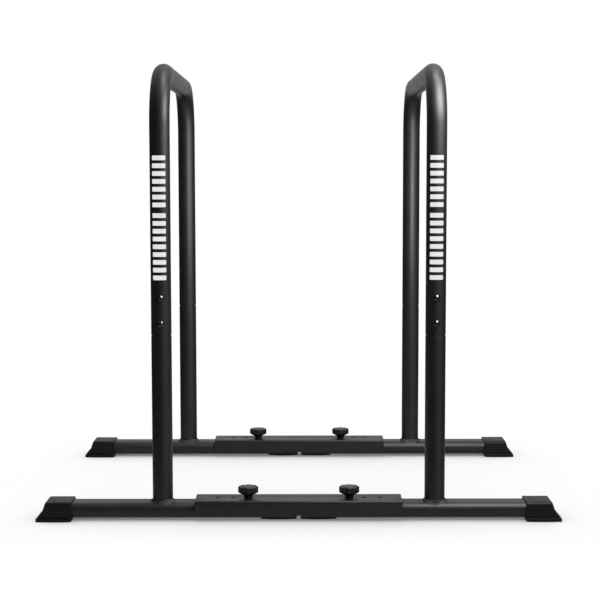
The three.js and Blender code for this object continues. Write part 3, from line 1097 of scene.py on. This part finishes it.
@dataclass(frozen=True)
class ThreadedInsert(FramePiece):
    """A flanged threaded insert set in the top of a base tube."""

    node, kind, slot = "threaded_insert", "turned", Slot.PLATED
    bore: float = 4.3  # radius of the bore
    body: float = 5.5  # radius of the body
    lip: float = 8.0  # radius of the flange
    flange: float = 2.2  # height of the flange
    depth: float = 17.0  # depth of the body

    def shape(self) -> Shape:
        """Returns the insert, in place."""
        profile = [(self.bore, -self.depth), (self.body - 0.4, -self.depth),
                   (self.body, 0.4 - self.depth), (self.body, 0.0), (self.lip - 0.2, 0.0),
                   (self.lip, 0.2), (self.lip, self.flange - 0.5),
                   (self.lip - 0.15, self.flange - 0.15), (self.lip - 0.5, self.flange),
                   (self.bore + 0.4, self.flange), (self.bore, self.flange - 0.4)]
        return self.moved(turned(profile, closed=True), FIRST_HOLE, OVAL_TOP)


@dataclass(frozen=True)
class Connector:
    """A bent steel channel, open below, with a row of holes at each end."""

    end: End
    half_length: float = 204.0
    half_width: float = 34.0
    wall: float = 3.5  # thickness of the plate
    bottom: float = 12.0  # height of the lower edges
    bend: float = 3.5  # outer radius of the bends
    crease: float = 0.5  # inner radius of the bends
    edge: float = 0.5  # rounding of the cut edges
    hole: float = 4.5  # radius of the holes
    ease: float = 0.45  # rounding of the holes' upper edges

    def outline(self, inset: float) -> np.ndarray:
        """Makes the cross-section, seen along X.

        Args:
            inset: How far it is moved inwards.

        Returns:
            The points.
        """
        outer, inner = self.half_width - inset, self.half_width - self.wall + inset
        top, under, low = CHANNEL_TOP - inset, CHANNEL_UNDERSIDE + inset, self.bottom + inset
        cut, bend, crease = max(self.edge - inset, 0.02), self.bend - inset, self.crease + inset
        half = [(inner, low, cut, 4), (outer, low, cut, 4), (outer, top, bend, 12)]
        return np.array(eased([
            *half, *((-y, z, radius, steps) for y, z, radius, steps in reversed(half)),
            (-inner, under, crease, 6), (inner, under, crease, 6)]))

    def hole_cutter(self) -> Shape:
        """Returns the cutter of a hole, whose upper edge is eased."""
        mouth = rounded_steps((self.hole + self.ease, CHANNEL_TOP - self.ease), self.ease, 180, 90, 5)
        return turned([(self.hole, CHANNEL_UNDERSIDE - CUTTER_REACH), *mouth,
                       (self.hole + self.ease, CHANNEL_TOP + CUTTER_REACH)], 56)

    def build(self, shop: Workshop) -> None:
        """Makes the channel.

        Args:
            shop: Where it is made.
        """
        ends = rounding(self.edge)
        rings = [along_x(back - self.half_length).ring(self.outline(inset))
                 for inset, back in reversed(ends)]
        rings += [along_x(self.half_length - back).ring(self.outline(inset)) for inset, back in ends]
        holes = [self.hole_cutter().placed(side.sign * (FIRST_HOLE + index * HOLE_PITCH))
                 for side in Side for index in range(HOLE_COUNT)]
        name = f"{self.end.label}_connector"
        shop.piece(f"{name}_channel", carved(loft(rings), holes).placed(
            y=self.end.sign * UPRIGHT_Y), Slot.POWDER_COAT, "root", name)


@dataclass(frozen=True)
class StarKnob(CornerPart):
    """A moulded star knob with its threaded stud and its washer."""

    # Radius, height and share of the flutes' depth, from the bore over the neck, the taper, the
    # rim and the ring in the top to the middle of the top
    steps: tuple[Triple, ...] = (
        (4.4, 12.7, 0), (4.4, 0.4, 0), (4.8, 0.0, 0), (8.2, 0.0, 0), (8.55, 0.4, 0), (8.7, 1.2, 0),
        (8.7, 2.5, 0), (9.2, 3.2, 0), (10.9, 4.2, 0), (13.6, 5.6, 0.3), (16.8, 7.3, 0.8),
        (18.8, 8.4, 1), (19.6, 9.0, 1), (19.9, 9.7, 1), (20.0, 10.6, 1), (20.0, 14.0, 1),
        (20.0, 18.4, 1), (19.9, 19.1, 1), (19.6, 19.8, 1), (19.0, 20.4, 1), (18.1, 20.7, 0.95),
        (16.8, 20.75, 0.8), (15.6, 20.75, 0.5), (15.2, 20.5, 0.3), (14.8, 19.9, 0.2),
        (14.2, 19.6, 0.1), (13.6, 19.9, 0), (13.2, 20.6, 0), (12.7, 20.9, 0), (9.0, 20.95, 0),
        (4.0, 21.0, 0), (0.5, 21.0, 0))
    lobes: int = 8
    lobe_steps: int = 26  # points round each lobe
    flute: float = 2.2  # depth of the hollows between the lobes
    stud: float = 4.0  # outer radius of the stud's thread
    stud_top: float = 12.4  # height of the stud's end in the head
    pitch: float = 1.25  # pitch of the thread
    thread_depth: float = 0.68
    thread_steps: int = 10  # rings for each turn of the thread
    thread_sides: int = 48  # points round the thread
    run_in: float = 0.9  # length over which the thread rises at the tip
    point: float = 0.92  # how slim the tip's end is, as a share of the core
    washer_radius: float = 8.5
    washer_height: float = 1.4  # thickness of the washer

    def head(self) -> Shape:
        """Makes the head, bored for the stud.

        Returns:
            The head, standing on its neck.
        """
        angles = all_round(self.lobes * self.lobe_steps)
        dip = self.flute * ((1 - np.cos(self.lobes * angles)) / 2) ** 2
        return loft([ring(radius - share * dip, height, angles) for radius, height, share in self.steps])

    def thread(self) -> Shape:
        """Makes the stud, with its thread: crests a third of the pitch wide, and steep flanks.

        Returns:
            The stud, at its height in the head.
        """
        low = CHANNEL_UNDERSIDE - KNOB_SEAT
        core = self.stud - self.thread_depth
        angles = all_round(self.thread_sides)
        rings = []
        for height in np.arange(low, self.stud_top + 0.01, self.pitch / self.thread_steps):
            turn = (height / self.pitch - angles / FULL_TURN) % 1.0
            crest = np.clip(1.7 - 4.4 * np.abs(turn - 0.5), 0, 1)
            rise = self.thread_depth * min(1.0, (height - low) / self.run_in)
            rings.append(ring(core + rise * crest, height, angles))
        rings[0] *= (self.point, self.point, 1)
        return loft(rings)

    def washer(self) -> Shape:
        """Returns the washer."""
        bore, rim, top = self.stud + 0.3, self.washer_radius, self.washer_height
        return turned([(bore, 0.1), (bore + 0.1, 0.0), (rim - 0.25, 0.0), (rim - 0.08, 0.08),
                       (rim, 0.25), (rim, top - 0.4), (rim - 0.1, top - 0.13), (rim - 0.4, top),
                       (bore + 0.2, top), (bore, top - 0.2)], closed=True)

    def build(self, shop: Workshop) -> None:
        """Makes the knob, its stud and its washer.

        Args:
            shop: Where it is made.
        """
        knob, turning, lifting = (f"{self.corner}_{name}" for name in ("knob", "star_knob", "knob_carrier"))
        for kind, shape, height, slot, body, node in (
                ("head", self.head(), KNOB_SEAT, Slot.NYLON, turning, knob),
                ("thread", self.thread(), KNOB_SEAT, Slot.PLATED, turning, f"{knob}_stud"),
                ("ring", self.washer(), CHANNEL_TOP + SEAT_GAP, Slot.BLACK_STEEL, lifting,
                 f"{knob}_washer")):
            shop.piece(f"{knob}_{kind}", self.moved(shape, FIRST_HOLE, height), slot, body, node)


@dataclass(frozen=True)
class HiddenHardware(CornerPart):
    """The spigot and the nuts inside a joint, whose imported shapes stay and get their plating."""

    def build(self, shop: Workshop) -> None:
        """Dresses the spigot and both nuts.

        Args:
            shop: Where it is made.
        """
        for node in ("spigot", "lower_nut", "upper_nut"):
            shop.dress(f"{self.corner}_{node}", Slot.PLATED)


# Studio


@dataclass(frozen=True)
class Softbox:
    """A soft lamp for the highlights. The even white surroundings light the colours."""

    name: str
    place: Triple  # where it hangs, in metres
    target: Triple  # where it points, in metres
    size: tuple[float, float]  # width and height of its face, in metres
    power: float  # watts

    def build(self) -> None:
        """Hangs the lamp."""
        lamp = bpy.data.lights.new(self.name, "AREA")
        lamp.shape = "RECTANGLE"
        lamp.size, lamp.size_y = self.size
        lamp.energy = self.power
        holder = put(self.name, lamp)
        holder.visible_diffuse = holder.visible_camera = False
        direction = Vector(self.target) - Vector(self.place)
        holder.matrix_world = (Matrix.Translation(self.place)
                               @ direction.to_track_quat("-Z", "Y").to_matrix().to_4x4())


@dataclass(frozen=True)
class Glow:
    """A bright part of the room round a direction, fading outwards."""

    azimuth: float  # degrees from the camera's side, positive to the right
    elevation: float  # degrees above the horizon
    reach: float  # degrees from the middle to where it has faded
    strength: float  # brightness in the middle

    def toward(self) -> Triple:
        """Returns the direction of the middle."""
        azimuth, elevation = math.radians(self.azimuth), math.radians(self.elevation)
        return (math.sin(azimuth) * math.cos(elevation), -math.cos(azimuth) * math.cos(elevation),
                math.sin(elevation))


def met_by(tree: Tree, kinds: Sequence[str]) -> Socket:
    """Picks out kinds of ray.

    Args:
        tree: Where the nodes go.
        kinds: The kinds, such as "Glossy".

    Returns:
        A socket that is 1 for rays of those kinds and 0 for all others.
    """
    rays = add_node(tree, "ShaderNodeLightPath").outputs
    first, *others = (rays[f"Is {kind} Ray"] for kind in kinds)
    for other in others:
        first = add_node(tree, "ShaderNodeMath", {"operation": "MAXIMUM"},
                         {0: first, 1: other}).outputs[0]
    return first


@dataclass(frozen=True)
class Studio:
    """The floor, the white surroundings, the lamps and the camera."""

    floor_colour: str = "#f1f1f1"
    # White added to the floor for the camera and for reflections, as light that comes through a
    # translucent sheet, which lightens its shadows
    floor_lift: float = 0.14
    # Lowest X, highest X, lowest Y and highest Y of the floor, in metres
    floor_box: tuple[float, float, float, float] = (-0.68, 0.68, -0.56, 0.6)
    floor_fade: float = 0.12  # width of the fade at the floor's rim, in metres
    room: float = 0.07  # brightness of the room between the glows
    glows: tuple[Glow, ...] = (Glow(180, 54, 64, 1.25), Glow(45, 0, 42, 1.4))  # the room's bright parts
    # Elevation in degrees of the middle of the white backdrop behind the object, degrees from
    # there within which it is white, and those where it ends
    backdrop: Triple = (0.0, 24.0, 36.0)
    lens: float = 85.854  # focal length in millimetres, on a square sensor 36 mm wide
    place: Triple = (0.00745, -3.117, 0.6754)  # the camera's place, in metres
    pitch: float = 4.944  # how far the camera looks down, in degrees
    yaw: float = 0.089  # how far it turns about the vertical, in degrees
    roll: float = -0.078  # how far it turns about its own line of sight, in degrees
    lamps: tuple[Softbox, ...] = (
        Softbox("key_lamp", (0.48, -0.56, 1.1), (0.0, 0.0, 0.55), (0.45, 0.48), 24.0),
        Softbox("top_lamp", (0.37, -0.13, 2.3), (0.0, 0.0, 0.55), (0.26, 0.69), 24.0),
        Softbox("left_strip", (-0.078, 0.025, 0.62), (-0.269, 0.325, 0.62), (0.08, 0.26), 1.45),
        Softbox("right_strip", (0.33, -0.02, 0.62), (0.269, 0.325, 0.62), (0.08, 0.26), 2.6),
    )

    def camera(self) -> None:
        """Sets the camera where the photograph was taken."""
        camera = bpy.data.cameras.new("camera")
        camera.lens, camera.sensor_width = self.lens, 36.0
        holder = put("camera", camera)
        holder.matrix_world = (Matrix.Translation(self.place)
                               @ Matrix.Rotation(math.radians(self.yaw), 4, "Z")
                               @ Matrix.Rotation(math.radians(90 - self.pitch), 4, "X")
                               @ Matrix.Rotation(math.radians(self.roll), 4, "Z"))
        bpy.context.scene.camera = holder

    def floor(self) -> None:
        """Lays the floor: a matt white sheet that takes the shadows and fades at its rim."""
        low_x, high_x, low_y, high_y = self.floor_box
        material = bpy.data.materials.new("floor_white")
        tree = empty_tree(material)
        place = add_node(tree, "ShaderNodeTexCoord").outputs["Object"]
        split = add_node(tree, "ShaderNodeSeparateXYZ", {}, {0: place}).outputs
        cover = None
        for socket, rim, inside in ((split["X"], low_x, 1), (split["X"], high_x, -1),
                                    (split["Y"], low_y, 1), (split["Y"], high_y, -1)):
            side = add_node(tree, "ShaderNodeMapRange", {
                "interpolation_type": "SMOOTHSTEP", "From Min": rim,
                "From Max": rim + inside * self.floor_fade}, {"Value": socket}).outputs[0]
            cover = side if cover is None else add_node(
                tree, "ShaderNodeMath", {"operation": "MULTIPLY"}, {0: cover, 1: side}).outputs[0]
        matt = add_node(tree, "ShaderNodeBsdfDiffuse", {"Color": linear(self.floor_colour)})
        lift = add_node(tree, "ShaderNodeMath", {"operation": "MULTIPLY", 1: self.floor_lift}, {
            0: met_by(tree, ("Camera", "Glossy", "Transmission"))}).outputs[0]
        through = add_node(tree, "ShaderNodeEmission", {}, {"Strength": lift})
        lit = add_node(tree, "ShaderNodeAddShader", {}, {0: matt.outputs[0], 1: through.outputs[0]})
        open_air = add_node(tree, "ShaderNodeBsdfTransparent")
        sheet = add_node(tree, "ShaderNodeMixShader", {},
                         {0: cover, 1: open_air.outputs[0], 2: lit.outputs[0]})
        add_node(tree, "ShaderNodeOutputMaterial", {}, {"Surface": sheet.outputs[0]})
        mesh = bpy.data.meshes.new("floor")
        mesh.from_pydata([(low_x, low_y, 0), (high_x, low_y, 0), (high_x, high_y, 0),
                          (low_x, high_y, 0)], [], [(0, 1, 2, 3)])
        mesh.materials.append(material)
        put("floor", mesh)

    def surroundings(self) -> None:
        """Sets the surroundings: an even white that lights the colours and that the camera sees.

        Glossy and transmitted rays see that white where the backdrop hangs, behind the object,
        and a dark room with a few bright parts elsewhere.
        """
        world = bpy.data.worlds.new("studio")
        bpy.context.scene.world = world
        tree = empty_tree(world)
        world.cycles.sampling_method = "NONE"  # so that each kind of ray finds its own part of it
        way = add_node(tree, "ShaderNodeTexCoord").outputs["Generated"]
        strength = None
        for glow in self.glows:
            likeness = add_node(tree, "ShaderNodeVectorMath", {
                "operation": "DOT_PRODUCT", 1: glow.toward()}, {0: way}).outputs["Value"]
            part = add_node(tree, "ShaderNodeMapRange", {
                "interpolation_type": "SMOOTHSTEP",
                "From Min": math.cos(math.radians(glow.reach)), "From Max": 1.0,
                "To Max": glow.strength}, {"Value": likeness}).outputs[0]
            strength = add_node(tree, "ShaderNodeMath", {"operation": "ADD", 1: self.room},
                                {0: part} if strength is None else {0: part, 1: strength}).outputs[0]
        room = add_node(tree, "ShaderNodeBackground", {}, {"Strength": strength})
        white = add_node(tree, "ShaderNodeBackground", {"Color": (1, 1, 1, 1), "Strength": 1.0})
        elevation, full, end = (math.radians(angle) for angle in self.backdrop)
        nearness = add_node(tree, "ShaderNodeVectorMath", {
            "operation": "DOT_PRODUCT", 1: (0.0, math.cos(elevation), math.sin(elevation))},
            {0: way}).outputs["Value"]
        behind = add_node(tree, "ShaderNodeMapRange", {
            "interpolation_type": "SMOOTHSTEP", "From Min": math.cos(end), "From Max": math.cos(full)},
            {"Value": nearness}).outputs[0]
        shown = add_node(tree, "ShaderNodeMixShader", {},
                         {0: behind, 1: room.outputs[0], 2: white.outputs[0]})
        mixed = add_node(tree, "ShaderNodeMixShader", {}, {
            0: met_by(tree, ("Glossy", "Transmission")), 1: white.outputs[0], 2: shown.outputs[0]})
        add_node(tree, "ShaderNodeOutputWorld", {}, {"Surface": mixed.outputs[0]})

    def build(self) -> None:
        """Sets up the whole studio."""
        bpy.context.scene.view_settings.view_transform = "Standard"
        self.camera()
        self.floor()
        self.surroundings()
        for lamp in self.lamps:
            lamp.build()
        log.info("set up the studio with %d lamps", len(self.lamps))


def main() -> None:
    """Builds the studio and every sub-assembly, in order."""
    logging.basicConfig(level=logging.INFO, format="%(name)s: %(message)s")
    Studio().build()
    shop = Workshop([PowderCoat(), MouldedRubber(), MouldedPlastic(), MouldedNylon(), BlackOxide(),
                     ZincPlate(), ScreenPrint()])
    for side in Side:
        Handle(side).build(shop)
        PrintedMark(side).build(shop)
        for end in End:
            Post(side, end).build(shop)
            for place in SCREW_HEIGHTS:
                JointScrew(side, end, place).build(shop)
            for part in (HiddenHardware, BaseTube, FootCap, EndPlug, FloorPad, ThreadedInsert, StarKnob):
                part(side, end).build(shop)
    for end in End:
        Connector(end).build(shop)


if __name__ == "__main__":
    main()
